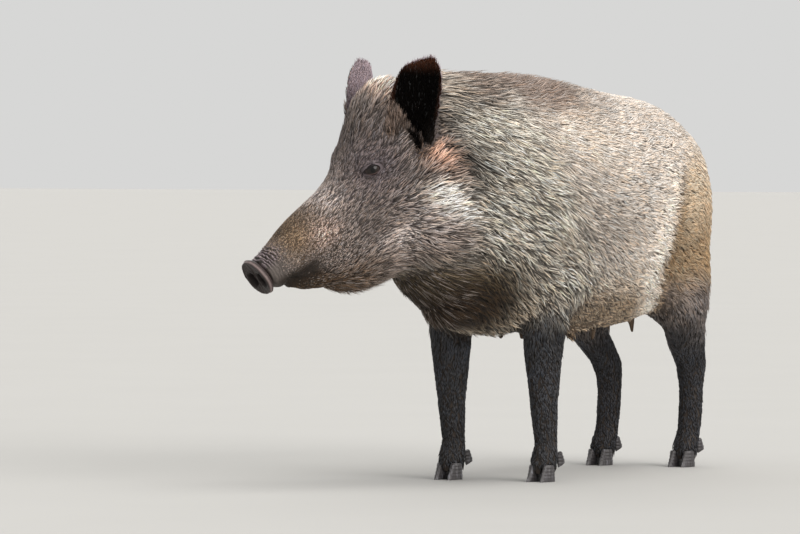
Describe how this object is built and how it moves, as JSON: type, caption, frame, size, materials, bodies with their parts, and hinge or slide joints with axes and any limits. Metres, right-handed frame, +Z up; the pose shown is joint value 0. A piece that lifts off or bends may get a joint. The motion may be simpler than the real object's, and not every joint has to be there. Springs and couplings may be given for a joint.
{
  "type": "wild boar",
  "caption": "Still life-size wild boar sow standing on its four feet, head lowered and turned to its right.",
  "frame": {"origin": "on the floor, under the middle of the whole animal's bounding box", "axes": "+X ahead along the trunk, +Y to the animal's left, +Z up"},
  "size_m": [1.3796, 0.4822, 0.8409],
  "materials": {
    "coat": "bristly coat, cream-grey over black-brown, dark slate on the legs",
    "ear_coat": "short dark hair",
    "snout": "bare moist skin, dark brown-grey",
    "horn": "dull dark horn",
    "eye": "wet, dark brown"
  },
  "bodies": {
    "root": {"claw_fore_left_inner": "horn", "claw_fore_left_outer": "horn", "claw_fore_right_inner": "horn", "claw_fore_right_outer": "horn", "claw_hind_left_inner": "horn", "claw_hind_left_outer": "horn", "claw_hind_right_inner": "horn", "claw_hind_right_outer": "horn", "dewclaw_fore_left_inner": "horn", "dewclaw_fore_left_outer": "horn", "dewclaw_fore_right_inner": "horn", "dewclaw_fore_right_outer": "horn", "dewclaw_hind_left_inner": "horn", "dewclaw_hind_left_outer": "horn", "dewclaw_hind_right_inner": "horn", "dewclaw_hind_right_outer": "horn", "ear_left": "ear_coat", "ear_right": "ear_coat", "eye_left": "eye", "eye_right": "eye", "head": "coat", "leg_fore_left": "coat", "leg_fore_right": "coat", "leg_hind_left": "coat", "leg_hind_right": "coat", "neck": "coat", "nose_pad": "snout", "tail": "coat", "trunk": "coat"}
  },
  "joints": []
}
